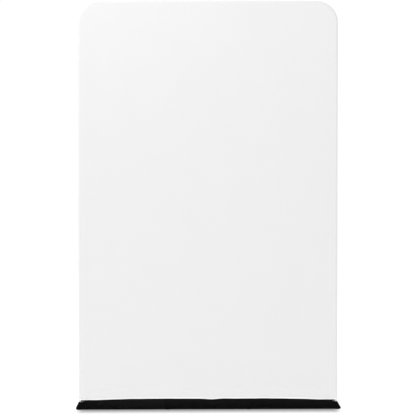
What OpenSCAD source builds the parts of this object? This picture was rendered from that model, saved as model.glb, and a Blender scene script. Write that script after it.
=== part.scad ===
// Free-standing wall: a zipped stretch cover pulled over an aluminium tube frame, on three joined steel base plates.
// Millimetres. X runs across the wall, Y from its front (-) to its back (+), Z up from the floor.

/* [Wall] */
// Overall width of the covered frame, and of the base
wall_w = 1500; // [1000:10:2400]
// Overall height, from the floor to the top of the cover
wall_h = 2330; // [1500:10:2800]
// Depth of the base plates, front to back
base_d = 300; // [240:10:600]

/* [Base plates] */
// Thickness of a base plate
plate_t = 6; // [5:1:12]
// Radius of the outer corners of the base
plate_corner_r = 12; // [3:1:40]
// Gap between neighbouring plates
plate_gap = 1; // [0.5:0.5:3]
// Diameter of a rubber foot
foot_d = 35; // [24:1:38]
// Height of a rubber foot
foot_h = 4; // [3.5:0.5:12]
// Distance from a plate's end to the middle of a foot
foot_inset_x = 20; // [20:1:40]
// Distance from a plate's long edge to the middle of a foot
foot_inset_y = 22; // [20:1:40]
// Width of a joiner strap, across the joint between two plates
strap_w = 120; // [80:5:200]
// Distance from a joiner strap's end to the plates' long edges
strap_inset = 50; // [45:1:80]
// Thickness of a joiner strap
strap_t = 3; // [2.6:0.2:3.4]
// Distance from a strap screw to the strap's edges
strap_screw_inset = 25; // [10:1:30]

/* [Frame tubes] */
// Outer diameter of the frame tube
tube_d = 30; // [25:1:40]
// Wall of the frame tube
tube_t = 1.5; // [1:0.1:2.5]
// Centreline radius of the two top bends
bend_r = 110; // [60:5:250]
// Straight tail at each end of a bend
tail_len = 40; // [39:1:120]
// Gap between the underside of the bottom bar and the plates
bar_clear = 21; // [18:1:80]

/* [Sleeves and spigots] */
// Wall of the inner sleeves and of the spigots
sleeve_t = 1.8; // [1:0.1:2.2]
// How far a sleeve reaches into each of the two tubes that it joins
sleeve_reach = 38; // [30:1:38]
// Height of a spigot above its plate
spigot_h = 200; // [120:5:400]
// Height of a spigot's snap button above its plate
spigot_button_h = 160; // [90:5:170]
// Height of the threaded plug in the foot of a spigot
plug_h = 22; // [16:1:26]
// Radial gap between a tube and what slides into it
slip_gap = 0.2; // [0.1:0.05:0.4]

/* [Snap buttons and rivets] */
// Diameter of a snap button
button_d = 7.6; // [5:0.1:9]
// How far a button stands out of its tube, which is also its travel
button_out = 4; // [2:0.5:5]
// Radius of a button's domed end
button_dome_r = 5; // [4.8:0.1:8]
// Distance from a tube joint to the button and to the rivet
button_off = 19; // [14:1:24]
// Thickness of the bent spring strip
leaf_t = 0.8; // [0.5:0.1:1]
// Width of the bent spring strip
leaf_w = 8; // [5:0.5:10]
// Length of a spring arm that lies straight along the sleeve
leaf_flat = 14; // [9:1:16]
// Length of a spring arm that slants to the bend
leaf_slant = 20; // [12:1:24]
// Shank diameter of a blind rivet
rivet_d = 4; // [3:0.2:4.8]

/* [Cover] */
// Thickness of the cover fabric
cover_t = 0.8; // [0.5:0.1:1.5]
// Gap between the frame tubes and the cover
cover_gap = 0.2; // [0.1:0.1:1]
// Gap between the cover's lowest corners and the plates
hem_gap = 12; // [6:1:16]
// Height of the zip above the plates
zip_h = 80; // [66:1:200]
// Distance from an end of the zip to the upright beside it
zip_inset = 20; // [8:1:60]
// Half the height of the opening in the cover that shows the zip
zip_reveal = 6; // [5.2:0.2:9]

/* [Zip] */
// Width of one zip tape
tape_w = 15; // [10:1:18]
// Thickness of a zip tape
tape_t = 0.8; // [0.5:0.1:1]
// Width of one row of teeth
coil_w = 2.5; // [2:0.1:3]
// Thickness of a row of teeth
coil_t = 2.2; // [1.5:0.1:3]
// Gap between the two rows, where the slider's post runs
coil_slot = 1.4; // [1.2:0.1:2]
// Length of the zip slider
slider_len = 11; // [9:0.5:14]
// Thickness of the slider's two plates
slider_t = 1.2; // [0.8:0.1:1.6]
// Length of the zip pull beyond its pivot
pull_len = 30; // [18:1:50]

/* [Hidden] */
$fn = 64;
LEFT = 0;
RIGHT = 1;
SIDES = [LEFT, RIGHT];
ENDS = [-1, 1];
UPRIGHT_PARTS = 3;
eps = 1;                // how far a cut runs past the face that it opens
thread_gap = 0.1;       // radial gap round screws and rivets
run_gap = 0.3;          // gap between the slider and what it slides past
button_gap = 0.2;       // radial gap round a snap button

// Levels and axes of the base and the frame
tube_r = tube_d / 2;
bore_r = tube_r - tube_t;
sleeve_r = bore_r - slip_gap;
sleeve_bore_r = sleeve_r - sleeve_t;
cover_in_r = tube_r + cover_gap;
cover_r = cover_in_r + cover_t;
tube_x = wall_w / 2 - cover_r;
rail_z = wall_h - cover_r;
deck_z = foot_h + plate_t;
bar_z = deck_z + bar_clear + tube_r;
hem_z = deck_z + hem_gap;
zip_z = deck_z + zip_h;
corner_x = tube_x - bend_r;
corner_z = rail_z - bend_r;
upright_len = floor((corner_z - tail_len - deck_z) / UPRIGHT_PARTS);
tail_z = deck_z + UPRIGHT_PARTS * upright_len;
rail_half = corner_x - tail_len;

// Plates, feet and straps
plate_w = (wall_w - 2 * plate_gap) / 3;
join_x = (plate_w + plate_gap) / 2;
foot_y = base_d / 2 - foot_inset_y;
foot_xs = [plate_w / 2 - foot_inset_x, wall_w / 2 - foot_inset_x];
foot_screw_d = 4;
foot_head_d = 8;
foot_head_t = 1.8;
foot_head_depth = 2.4;
foot_screw_bite = plate_t * 0.7;
strap_d = base_d - 2 * strap_inset;
strap_screw_d = 5;
strap_head_d = 10;
strap_head_t = (strap_head_d - strap_screw_d) / 2;
strap_screw_bite = plate_t * 0.7;
strap_screw_x = strap_w / 2 - strap_screw_inset;
strap_screw_y = strap_d / 2 - strap_screw_inset;
spigot_screw_d = 8;
spigot_head_d = 16;
spigot_head_t = (spigot_head_d - spigot_screw_d) / 2;
spigot_screw_bite = plug_h - 4;

// Snap buttons, springs and rivets
button_r = button_d / 2;
button_hole_r = button_r + button_gap;
rivet_hole_r = rivet_d / 2 + thread_gap;
rivet_head_r = rivet_d * 0.9;
rivet_head_t = 1.2;
rivet_tail_r = rivet_d * 0.65;
rivet_tail_t = 2.5;
leaf_seat = sqrt(pow(sleeve_bore_r, 2) - pow(leaf_w / 2, 2)) - 0.1;
leaf_bend_r = 1.2;
rivet_seat = sqrt(pow(sleeve_bore_r, 2) - pow(rivet_tail_r, 2)) - 0.05;
spigot_seam_z = deck_z + spigot_button_h - button_off;

// Saddle fittings at the ends of the bottom bar
saddle_len = 10;        // from the upright's face to the end of the bar
saddle_r = tube_r - 0.5;
saddle_wrap = 7;        // how far the saddle reaches round the upright
saddle_plug_len = 34;
peg_r = 4;
peg_len = tube_t + slip_gap + sleeve_t + 1.5;
peg_hole_r = peg_r + button_gap;
bar_half = tube_x - tube_r - saddle_len;

// Zip
zip_half = tube_x - tube_r - zip_inset;
tape_y = cover_in_r - tape_t;
coil_y = cover_in_r + coil_t;
coil_edge = coil_slot / 2 + coil_w;
stop_len = 3;
stop_t = 1;
stop_end = 5;           // from the end of the zip to a stop
slider_top_y = coil_y + run_gap;
slider_face_y = slider_top_y + slider_t;
slider_half_w = coil_edge + run_gap + 1;
slider_x = zip_half - stop_end - stop_len - 1 - slider_len / 2;
post_t = coil_slot - 2 * 0.25;
crown_half_w = 1.1;
crown_len = slider_len - 2;
crown_h = 3.4;
pull_t = 1.6;
pull_pin_r = 0.9;
pull_bore_r = pull_pin_r + 0.07;
pull_y = slider_face_y + 0.2 + pull_pin_r;
pull_gap = 0.5;         // between the crown and the pull's two arms
pull_arm_w = 1.6;
pull_half_w = crown_half_w + pull_gap + pull_arm_w;
pull_neck = sqrt(pow(crown_len / 2, 2) + pow(crown_h, 2)) + 0.8;

// ---- Shared shapes and places ----

// A straight pipe along +Z
module pipe(r_out, r_in, len) {
    difference() {
        cylinder(r = r_out, h = len);
        translate([0, 0, -eps]) cylinder(r = r_in, h = len + 2 * eps);
    }
}

// A round bar along +X, from x0 to x1
module rod_x(x0, x1, r) {
    translate([x0, 0, 0]) rotate([0, 90, 0]) cylinder(r = r, h = x1 - x0);
}

// The left side as it is, or its mirror image on the right
module on_side(side) {
    if (side == LEFT) children();
    else mirror([1, 0, 0]) children();
}

// On the axis of an upright at height z. Local +X faces into the frame
module at_upright(side, z) {
    on_side(side) translate([-tube_x, 0, z]) children();
}

// On the axis of the top rail. Local +Z runs along the rail and local +X faces down, into the frame
module at_rail(side, x) {
    on_side(side) translate([x, 0, rail_z]) rotate([0, 90, 0]) children();
}

// On the axis of the bottom bar. Local +Z runs along the bar and local +X faces up, into the frame
module at_bar(x) {
    translate([x, 0, bar_z]) rotate([180, 0, 0]) rotate([0, 90, 0]) children();
}

// At every sleeved tube joint. Local +Z runs from the riveted tube into the buttoned one
module at_each_joint() {
    for (side = SIDES) {
        for (n = [1:UPRIGHT_PARTS]) at_upright(side, deck_z + n * upright_len) children();
        at_rail(side, -rail_half) children();
    }
    at_rail(LEFT, 0) children();
    at_bar(0) children();
}

// A pipe with holes in the side that faces local +X, each given as [height, radius]
module drilled_pipe(r_out, r_in, len, holes) {
    difference() {
        pipe(r_out, r_in, len);
        for (hole = holes) translate([0, 0, hole[0]]) rod_x(0, r_out + eps, hole[1]);
    }
}

// ---- Base ----

// A plate centred on its own middle. Where end is -1 or 1 its two corners at that end are rounded
module plate_blank(end) {
    translate([-plate_w / 2, -base_d / 2, foot_h]) {
        if (end == 0) cube([plate_w, base_d, plate_t]);
        else {
            flip = end < 0 ? 0 : plate_w;
            translate([flip, 0, 0]) mirror([flip > 0 ? 1 : 0, 0, 0]) {
                translate([plate_corner_r, 0, 0]) cube([plate_w - plate_corner_r, base_d, plate_t]);
                translate([0, plate_corner_r, 0]) cube([plate_corner_r, base_d - 2 * plate_corner_r, plate_t]);
                for (turn = [180, 90])
                    translate([plate_corner_r, turn == 180 ? plate_corner_r : base_d - plate_corner_r, 0])
                        rotate([0, 0, turn]) rotate_extrude(angle = 90) square([plate_corner_r, plate_t]);
            }
        }
    }
}

module foot_places() {
    for (x = foot_xs, sx = ENDS, sy = ENDS) translate([sx * x, sy * foot_y, 0]) children();
}

module strap_screw_places() {
    for (join = ENDS, sx = ENDS, sy = ENDS)
        translate([join * join_x + sx * strap_screw_x, sy * strap_screw_y, 0]) children();
}

// A countersunk screw, head down, from the height z up. Widened by gap it is the hole for one
module countersunk_screw(z, head_d, screw_d, head_t, bite, gap) {
    translate([0, 0, z]) {
        cylinder(r1 = head_d / 2 + gap, r2 = screw_d / 2 + gap, h = head_t);
        cylinder(r = screw_d / 2 + gap, h = head_t + bite + gap);
    }
}

module base_plate(end) {
    color("#141416") difference() {
        translate([end * (plate_w + plate_gap), 0, 0]) plate_blank(end);
        foot_places() translate([0, 0, foot_h - eps])
            cylinder(r = foot_screw_d / 2 + thread_gap, h = foot_screw_bite + thread_gap + eps);
        strap_screw_places() translate([0, 0, foot_h - eps])
            cylinder(r = strap_screw_d / 2 + thread_gap, h = strap_screw_bite + thread_gap + eps);
        if (end != 0) translate([end * tube_x, 0, 0])
            countersunk_screw(foot_h, spigot_head_d, spigot_screw_d, spigot_head_t, plate_t, thread_gap);
    }
}

module joiner_straps() {
    color("#1b1b1d") difference() {
        for (join = ENDS) translate([join * join_x - strap_w / 2, -strap_d / 2, foot_h - strap_t])
            cube([strap_w, strap_d, strap_t]);
        strap_screw_places()
            countersunk_screw(foot_h - strap_t, strap_head_d, strap_screw_d, strap_head_t, strap_t, thread_gap);
    }
}

module strap_screws() {
    color("#3a3a3c") strap_screw_places()
        countersunk_screw(foot_h - strap_t, strap_head_d, strap_screw_d, strap_head_t,
            strap_t - strap_head_t + strap_screw_bite, 0);
}

module rubber_feet() {
    color("#202020") foot_places() difference() {
        cylinder(r = foot_d / 2, h = foot_h);
        translate([0, 0, -eps]) cylinder(r = foot_head_d / 2 + 0.5, h = foot_head_depth + eps);
        translate([0, 0, -eps]) cylinder(r = foot_screw_d / 2 + thread_gap, h = foot_h + 2 * eps);
    }
}

module foot_screws() {
    color("#8c8c8f") foot_places() {
        translate([0, 0, foot_head_depth - foot_head_t]) cylinder(r = foot_head_d / 2, h = foot_head_t);
        translate([0, 0, foot_head_depth]) cylinder(r = foot_screw_d / 2, h = foot_h - foot_head_depth + foot_screw_bite);
    }
}

module spigot(side) {
    color("#b9bcc0") at_upright(side, deck_z)
        drilled_pipe(sleeve_r, sleeve_bore_r, spigot_h,
            [[bar_z - deck_z, peg_hole_r], [spigot_button_h, button_hole_r]]);
}

module spigot_plugs() {
    color("#9a9ca0") for (side = SIDES) at_upright(side, deck_z)
        pipe(sleeve_bore_r, spigot_screw_d / 2 + thread_gap, plug_h);
}

module spigot_screws() {
    color("#3a3a3c") for (side = SIDES) at_upright(side, 0)
        countersunk_screw(foot_h, spigot_head_d, spigot_screw_d, spigot_head_t,
            plate_t - spigot_head_t + spigot_screw_bite, 0);
}

// ---- Tube frame ----

module lower_tube(side) {
    color("silver") at_upright(side, deck_z)
        drilled_pipe(tube_r, bore_r, upright_len,
            [[bar_z - deck_z, peg_hole_r], [spigot_button_h, button_hole_r],
            [upright_len - button_off, rivet_hole_r]]);
}

// The middle or the upper length of an upright
module stacked_tube(side, place) {
    color("silver") at_upright(side, deck_z + place * upright_len)
        drilled_pipe(tube_r, bore_r, upright_len,
            [[button_off, button_hole_r], [upright_len - button_off, rivet_hole_r]]);
}

module corner_elbow(side) {
    color("silver") difference() {
        union() {
            at_upright(side, tail_z) pipe(tube_r, bore_r, corner_z - tail_z);
            at_rail(side, -corner_x) pipe(tube_r, bore_r, tail_len);
            on_side(side) translate([-corner_x, 0, corner_z]) rotate([90, 0, 0]) rotate([0, 0, 90])
                rotate_extrude(angle = 90) translate([bend_r, 0]) difference() {
                    circle(r = tube_r);
                    circle(r = bore_r);
                }
        }
        at_upright(side, tail_z + button_off) rod_x(0, tube_r + eps, button_hole_r);
        at_rail(side, -rail_half - button_off) rod_x(0, tube_r + eps, rivet_hole_r);
    }
}

module top_rail_left() {
    color("silver") at_rail(LEFT, -rail_half)
        drilled_pipe(tube_r, bore_r, rail_half,
            [[button_off, button_hole_r], [rail_half - button_off, rivet_hole_r]]);
}

module top_rail_right() {
    color("silver") at_rail(LEFT, 0)
        drilled_pipe(tube_r, bore_r, rail_half,
            [[button_off, button_hole_r], [rail_half - button_off, button_hole_r]]);
}

module bottom_bar_left() {
    color("silver") at_bar(-bar_half)
        drilled_pipe(tube_r, bore_r, bar_half, [[bar_half - button_off, rivet_hole_r]]);
}

module bottom_bar_right() {
    color("silver") at_bar(0)
        drilled_pipe(tube_r, bore_r, bar_half, [[button_off, button_hole_r]]);
}

// Plugs the end of the bottom bar, cups the upright and pegs into it
module bar_saddle(side) {
    color("#2a2a2c") on_side(side) translate([-tube_x, 0, bar_z]) {
        difference() {
            rod_x(tube_r - saddle_wrap, tube_r + saddle_len, saddle_r);
            translate([0, 0, -tube_d]) cylinder(r = tube_r + thread_gap, h = 2 * tube_d);
        }
        rod_x(tube_r - peg_len, tube_r + saddle_len / 2, peg_r);
        rod_x(tube_r + saddle_len, tube_r + saddle_len + saddle_plug_len, sleeve_r);
    }
}

// ---- Sleeves, rivets and snap buttons ----

module joint_sleeve() {
    color("#c4c6c9") translate([0, 0, -sleeve_reach])
        drilled_pipe(sleeve_r, sleeve_bore_r, 2 * sleeve_reach,
            [[sleeve_reach - button_off, rivet_hole_r], [sleeve_reach + button_off, button_hole_r]]);
}

module upright_sleeves(side) {
    for (n = [1:UPRIGHT_PARTS]) at_upright(side, deck_z + n * upright_len) joint_sleeve();
}

module rail_sleeves() {
    for (side = SIDES) at_rail(side, -rail_half) joint_sleeve();
    at_rail(LEFT, 0) joint_sleeve();
}

module sleeve_rivets() {
    color("#d5d7da") at_each_joint() translate([0, 0, -button_off]) {
        rod_x(rivet_seat - rivet_tail_t, tube_r + rivet_head_t, rivet_d / 2);
        rod_x(rivet_seat - rivet_tail_t, rivet_seat, rivet_tail_r);
        translate([tube_r, 0, 0]) rotate([0, 90, 0])
            cylinder(r1 = rivet_head_r, r2 = rivet_head_r * 0.7, h = rivet_head_t);
    }
}

// A strip bent to a V inside a sleeve: one arm carries the button, the other bears on the far wall
module snap_spring() {
    color("#8f9195") translate([0, leaf_w / 2, button_off + leaf_flat / 2 - leaf_flat - leaf_slant])
        rotate([90, 0, 0]) linear_extrude(leaf_w) {
            for (arm = SIDES) mirror([arm, 0]) {
                translate([leaf_seat - leaf_t, leaf_slant]) square([leaf_t, leaf_flat]);
                polygon([[leaf_bend_r, 0], [leaf_bend_r + leaf_t, 0], [leaf_seat, leaf_slant],
                    [leaf_seat - leaf_t, leaf_slant]]);
            }
            difference() {
                circle(r = leaf_bend_r + leaf_t);
                circle(r = leaf_bend_r);
                translate([-leaf_bend_r - leaf_t - eps, 0]) square([2 * (leaf_bend_r + leaf_t + eps), leaf_bend_r + leaf_t + eps]);
            }
        }
}

module snap_springs() {
    at_each_joint() snap_spring();
    for (side = SIDES) at_upright(side, spigot_seam_z) snap_spring();
}

// Turned about its own axis: a plain shank on the spring, and a domed end
module snap_button() {
    dome_x = tube_r + button_out - button_dome_r;
    color("#c9ccd0") translate([0, 0, button_off]) rotate([0, 90, 0]) rotate_extrude() intersection() {
        translate([0, leaf_seat]) square([button_r, tube_r + button_out - leaf_seat + eps]);
        union() {
            square([button_r, dome_x]);
            translate([0, dome_x]) circle(r = button_dome_r);
        }
    }
}

// ---- Cover ----

// A quarter round of fabric about a tube along local +Z, from the angle start
module quarter_wrap(start, len) {
    rotate([0, 0, start]) rotate_extrude(angle = 90) translate([cover_in_r, 0]) square([cover_t, len]);
}

// The front face of the cover above the zip's height: sheet, side and top wraps, and rounded corners
module cover_upper() {
    translate([-tube_x, -cover_r, zip_z]) cube([2 * tube_x, cover_t, corner_z - zip_z]);
    translate([-corner_x, -cover_r, corner_z]) cube([2 * corner_x, cover_t, bend_r]);
    translate([-corner_x, 0, rail_z]) rotate([0, 90, 0]) quarter_wrap(180, 2 * corner_x);
    for (side = SIDES) on_side(side) {
        translate([-tube_x, 0, zip_z]) quarter_wrap(180, corner_z - zip_z);
        translate([-corner_x, 0, corner_z]) rotate([90, 0, 0]) rotate([0, 0, 90]) {
            translate([0, 0, cover_in_r]) rotate_extrude(angle = 90) square([bend_r, cover_t]);
            rotate_extrude(angle = 90) translate([bend_r, 0]) intersection() {
                difference() {
                    circle(r = cover_r);
                    circle(r = cover_in_r);
                }
                square(cover_r + eps);
            }
        }
    }
}

// The front face of the cover below the zip's height, wrapped under the bottom bar and open round the uprights
module cover_lower() {
    wrap_half = tube_x - cover_r;
    translate([-tube_x, -cover_r, bar_z]) cube([2 * tube_x, cover_t, zip_z - bar_z]);
    translate([-wrap_half, 0, bar_z]) rotate([0, 90, 0]) quarter_wrap(270, 2 * wrap_half);
    for (side = SIDES) on_side(side) {
        translate([-tube_x, 0, hem_z]) quarter_wrap(180, zip_z - hem_z);
        translate([-tube_x, -cover_r, hem_z]) cube([cover_r - 1, cover_t, bar_z - hem_z]);
    }
}

module zip_opening() {
    translate([-zip_half, tape_y, zip_z - zip_reveal]) cube([2 * zip_half, cover_r, 2 * zip_reveal]);
}

module cover_front() {
    color("white") {
        cover_upper();
        cover_lower();
    }
}

module cover_back() {
    color("white") difference() {
        mirror([0, 1, 0]) cover_upper();
        zip_opening();
    }
}

module cover_flap() {
    color("white") difference() {
        mirror([0, 1, 0]) cover_lower();
        zip_opening();
    }
}

// ---- Zip ----

// One tape with its row of teeth, above the zip's middle where up is 1 and below it where up is -1
module zip_half(up) {
    color("#ececec") translate([0, 0, zip_z]) mirror([0, 0, up < 0 ? 1 : 0]) {
        translate([-zip_half, tape_y, coil_slot / 2]) cube([2 * zip_half, tape_t, tape_w - coil_slot / 2]);
        translate([-zip_half, cover_in_r, coil_slot / 2]) cube([2 * zip_half, coil_t, coil_w]);
    }
}

module zip_stops() {
    color("#b0b2b5") for (end = ENDS, up = ENDS)
        translate([end * (zip_half - stop_end - stop_len / 2), 0, zip_z + up * (coil_slot / 2 + coil_w / 2)])
            translate([-stop_len / 2, coil_y, -coil_w / 2]) cube([stop_len, stop_t, coil_w]);
}

module zip_slider() {
    under_y = tape_y - run_gap - slider_t;
    color("#b0b2b5") translate([slider_x, 0, zip_z]) difference() {
        union() {
            translate([-slider_len / 2, under_y, -slider_half_w]) cube([slider_len, slider_t, 2 * slider_half_w]);
            translate([-slider_len / 2, slider_top_y, -slider_half_w]) cube([slider_len, slider_t, 2 * slider_half_w]);
            translate([0, under_y + slider_t, -post_t / 2])
                cube([slider_len / 2 - 1, slider_top_y - under_y - slider_t, post_t]);
            for (side = ENDS) translate([-slider_len / 2, cover_in_r + run_gap, side * (slider_half_w - 0.5) - 0.5])
                cube([slider_len, slider_top_y - cover_in_r - run_gap, 1]);
            translate([-crown_len / 2, slider_face_y, -crown_half_w]) cube([crown_len, crown_h, 2 * crown_half_w]);
        }
        translate([0, pull_y, -crown_half_w - eps]) cylinder(r = pull_bore_r, h = 2 * (crown_half_w + eps));
    }
}

module zip_pull() {
    color("#a4a6a9") translate([slider_x, pull_y, zip_z]) {
        translate([0, 0, -pull_half_w]) cylinder(r = pull_pin_r, h = 2 * pull_half_w);
        for (side = ENDS) translate([-pull_neck, -pull_t / 2, side * (pull_half_w - pull_arm_w / 2) - pull_arm_w / 2])
            cube([pull_neck, pull_t, pull_arm_w]);
        difference() {
            union() {
                translate([-pull_len + pull_half_w, -pull_t / 2, -pull_half_w])
                    cube([pull_len - pull_half_w - pull_neck, pull_t, 2 * pull_half_w]);
                translate([-pull_len + pull_half_w, pull_t / 2, 0]) rotate([90, 90, 0]) rotate([0, 0, 180])
                    rotate_extrude(angle = 180) square([pull_half_w, pull_t]);
            }
            translate([-pull_len + pull_half_w, pull_t, 0]) rotate([90, 0, 0])
                cylinder(r = pull_half_w - pull_arm_w, h = 2 * pull_t);
        }
    }
}

base_plate(-1);  // base_plate_left
base_plate(0);  // base_plate_middle
base_plate(1);  // base_plate_right
joiner_straps();
strap_screws();
rubber_feet();
foot_screws();
spigot(LEFT);  // spigot_left
spigot(RIGHT);  // spigot_right
spigot_plugs();
spigot_screws();
lower_tube(LEFT);  // lower_tube_left
stacked_tube(LEFT, 1);  // middle_tube_left
stacked_tube(LEFT, 2);  // upper_tube_left
corner_elbow(LEFT);  // corner_elbow_left
lower_tube(RIGHT);  // lower_tube_right
stacked_tube(RIGHT, 1);  // middle_tube_right
stacked_tube(RIGHT, 2);  // upper_tube_right
corner_elbow(RIGHT);  // corner_elbow_right
top_rail_left();
top_rail_right();
bottom_bar_left();
bottom_bar_right();
bar_saddle(LEFT);  // bar_saddle_left
bar_saddle(RIGHT);  // bar_saddle_right
upright_sleeves(LEFT);  // sleeves_left
upright_sleeves(RIGHT);  // sleeves_right
rail_sleeves();  // sleeves_top
at_bar(0) joint_sleeve();  // sleeve_bottom
sleeve_rivets();
snap_springs();
at_upright(LEFT, spigot_seam_z) snap_button();  // snap_button_spigot_left
at_upright(LEFT, deck_z + upright_len) snap_button();  // snap_button_lower_left
at_upright(LEFT, deck_z + 2 * upright_len) snap_button();  // snap_button_upper_left
at_upright(LEFT, deck_z + 3 * upright_len) snap_button();  // snap_button_elbow_left
at_upright(RIGHT, spigot_seam_z) snap_button();  // snap_button_spigot_right
at_upright(RIGHT, deck_z + upright_len) snap_button();  // snap_button_lower_right
at_upright(RIGHT, deck_z + 2 * upright_len) snap_button();  // snap_button_upper_right
at_upright(RIGHT, deck_z + 3 * upright_len) snap_button();  // snap_button_elbow_right
at_rail(LEFT, -rail_half) snap_button();  // snap_button_rail_left
at_rail(LEFT, 0) snap_button();  // snap_button_rail_middle
at_rail(RIGHT, -rail_half) snap_button();  // snap_button_rail_right
at_bar(0) snap_button();  // snap_button_bar
cover_front();
cover_back();
cover_flap();
zip_half(1);  // zip_half_upper
zip_half(-1);  // zip_half_lower
zip_stops();
zip_slider();
zip_pull();
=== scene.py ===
import math
import random

import bmesh
import bpy
from mathutils import Matrix, Vector
from mathutils.bvhtree import BVHTree


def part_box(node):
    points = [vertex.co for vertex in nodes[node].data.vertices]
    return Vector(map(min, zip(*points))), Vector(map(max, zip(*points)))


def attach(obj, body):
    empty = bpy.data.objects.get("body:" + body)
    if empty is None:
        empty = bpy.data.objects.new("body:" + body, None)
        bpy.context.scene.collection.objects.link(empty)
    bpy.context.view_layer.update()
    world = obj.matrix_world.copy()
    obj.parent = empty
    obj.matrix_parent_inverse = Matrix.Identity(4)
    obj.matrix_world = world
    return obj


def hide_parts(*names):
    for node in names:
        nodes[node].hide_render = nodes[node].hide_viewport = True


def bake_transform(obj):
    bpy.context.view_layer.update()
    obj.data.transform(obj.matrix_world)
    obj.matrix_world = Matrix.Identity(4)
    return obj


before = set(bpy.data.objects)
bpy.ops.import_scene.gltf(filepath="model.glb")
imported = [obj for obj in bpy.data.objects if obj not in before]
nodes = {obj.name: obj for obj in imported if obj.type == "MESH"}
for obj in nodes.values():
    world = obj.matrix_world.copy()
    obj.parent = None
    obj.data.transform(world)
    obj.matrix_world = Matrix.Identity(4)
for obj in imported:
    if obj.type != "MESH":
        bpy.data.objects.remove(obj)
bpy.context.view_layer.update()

MM = 0.001


# ---- Base plates ----
# Three steel plates, laser cut and laid side by side, with a fine-grained black powder coat.
# Their cut edges are eased, and the coat has rubbed a little thin along them.

COAT_BLACK = (0.0016, 0.0016, 0.0017, 1)
COAT_RUBBED = (0.011, 0.011, 0.012, 1)
COAT_GRAIN = 0.9 * MM
COAT_CLOUD = 90 * MM
COAT_SCUFF = 11 * MM
COAT_RELIEF = 0.06 * MM
COAT_ROUGH = 0.74
PLATE_EASE = 0.7 * MM
RUB_FROM = 0.4 * MM
PLATE_RUB_TO = 2.6 * MM
OUTLINE_BAND = 14 * MM
PLATE_JOINT_BAND = 1.5 * MM
SAME_POINT = 0.002 * MM
SAME_PLANE = math.radians(0.5)


class Wire:
    """One value in a finish's nodes. Arithmetic on it adds the Math nodes that work it out."""

    def __init__(self, finish, socket):
        self.finish = finish
        self.socket = socket

    def math(self, operation, *others, turned=False):
        terms = [self, *others]
        if turned:
            terms.reverse()
        return self.finish.node("ShaderNodeMath", {"operation": operation}, dict(enumerate(terms)))

    def __add__(self, other):
        return self.math("ADD", other)

    def __sub__(self, other):
        return self.math("SUBTRACT", other)

    def __rsub__(self, other):
        return self.math("SUBTRACT", other, turned=True)

    def __mul__(self, other):
        return self.math("MULTIPLY", other)

    def __truediv__(self, other):
        return self.math("DIVIDE", other)

    def __mod__(self, other):
        return self.math("FLOORED_MODULO", other)

    def __abs__(self):
        return self.math("ABSOLUTE")

    __radd__ = __add__
    __rmul__ = __mul__

    def most(self, other):
        return self.math("MAXIMUM", other)

    def eased(self, low, high, at_low=0.0, at_high=1.0):
        """Goes smoothly from at_low to at_high as this value goes from low to high."""
        return self.finish.node(
            "ShaderNodeMapRange",
            {"interpolation_type": "SMOOTHSTEP"},
            {"Value": self, "From Min": low, "From Max": high, "To Min": at_low, "To Max": at_high},
        )


class Finish:
    """The material of one sort of piece: fixed values on its shader, and nodes for what changes over it."""

    def __init__(self, name, **fixed):
        self.material = bpy.data.materials.new(name)
        self.material.use_nodes = True
        self.shader = self.material.node_tree.nodes["Principled BSDF"]
        self.plug(self.shader, {socket.replace("_", " "): value for socket, value in fixed.items()})

    def plug(self, node, inlets):
        for place, value in inlets.items():
            if isinstance(value, Wire):
                self.material.node_tree.links.new(value.socket, node.inputs[place])
            else:
                node.inputs[place].default_value = value

    def node(self, kind, settings=None, inlets=None, outlet=0):
        made = self.material.node_tree.nodes.new(kind)
        for setting, value in (settings or {}).items():
            setattr(made, setting, value)
        self.plug(made, inlets or {})
        return Wire(self, made.outputs[outlet])

    def where(self):
        return self.node("ShaderNodeTexCoord", outlet="Object")

    def along(self, place):
        """The three parts of a place on the piece, each as a value of its own."""
        parts = self.node("ShaderNodeSeparateXYZ", inlets={0: place}).socket.node.outputs
        return [Wire(self, part) for part in parts]

    def vector(self, x, y, z):
        return self.node("ShaderNodeCombineXYZ", inlets={0: x, 1: y, 2: z})

    def grain(self, place, size, detail=2.0, roughness=0.5):
        """Cloudy noise from 0 to 1, whose blotches are about size across."""
        sockets = {"Vector": place, "Scale": 1 / size, "Detail": detail, "Roughness": roughness}
        return self.node("ShaderNodeTexNoise", inlets=sockets)

    def mixed(self, share, first, second):
        """The colour that goes from first to second as share goes from 0 to 1."""
        return self.node("ShaderNodeMix", {"data_type": "RGBA"}, {0: share, 6: first, 7: second}, outlet=2)

    def relief(self, height, depth):
        """Bumps whose height goes from 0 to 1 over a depth in metres."""
        return self.node("ShaderNodeBump", inlets={"Height": height, "Distance": depth})

    def varies(self, **inlets):
        self.plug(self.shader, {socket.replace("_", " "): value for socket, value in inlets.items()})
        return self.material


def coated(name, base, rubbed, grain, edge):
    """Powder coat: a fine orange-peel skin, slightly cloudy, and thinner where edge is near 1."""
    finish = Finish(name, Metallic=0.0, Specular_IOR_Level=0.008)
    place = finish.where()
    skin = finish.grain(place, grain, detail=3.0)
    cloud = finish.grain(place, COAT_CLOUD)
    scuff = finish.grain(place, COAT_SCUFF, detail=4.0, roughness=0.7)
    worn = edge(finish, place) * scuff.eased(0.48, 0.66)
    return finish.varies(
        Base_Color=finish.mixed(worn * 0.7 + cloud * 0.06, base, rubbed),
        Roughness=COAT_ROUGH + (skin - 0.5) * 0.16 - worn * 0.12,
        Normal=finish.relief(skin, COAT_RELIEF),
    )


_, plate_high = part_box("base_plate_middle")
outer_low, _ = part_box("base_plate_left")
BASE_HALF_WIDTH = -outer_low.x
BASE_HALF_DEPTH = plate_high.y
DECK_Z = plate_high.z


def plate_rim(finish, place):
    """1 along the outer edges of the base, and 0 a few millimetres in."""
    x, y, _ = finish.along(place)
    from_side = BASE_HALF_WIDTH - abs(x)
    from_front = BASE_HALF_DEPTH - abs(y)
    nearest = from_side.math("MINIMUM", from_front)
    return 1 - nearest.eased(RUB_FROM, PLATE_RUB_TO)


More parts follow.
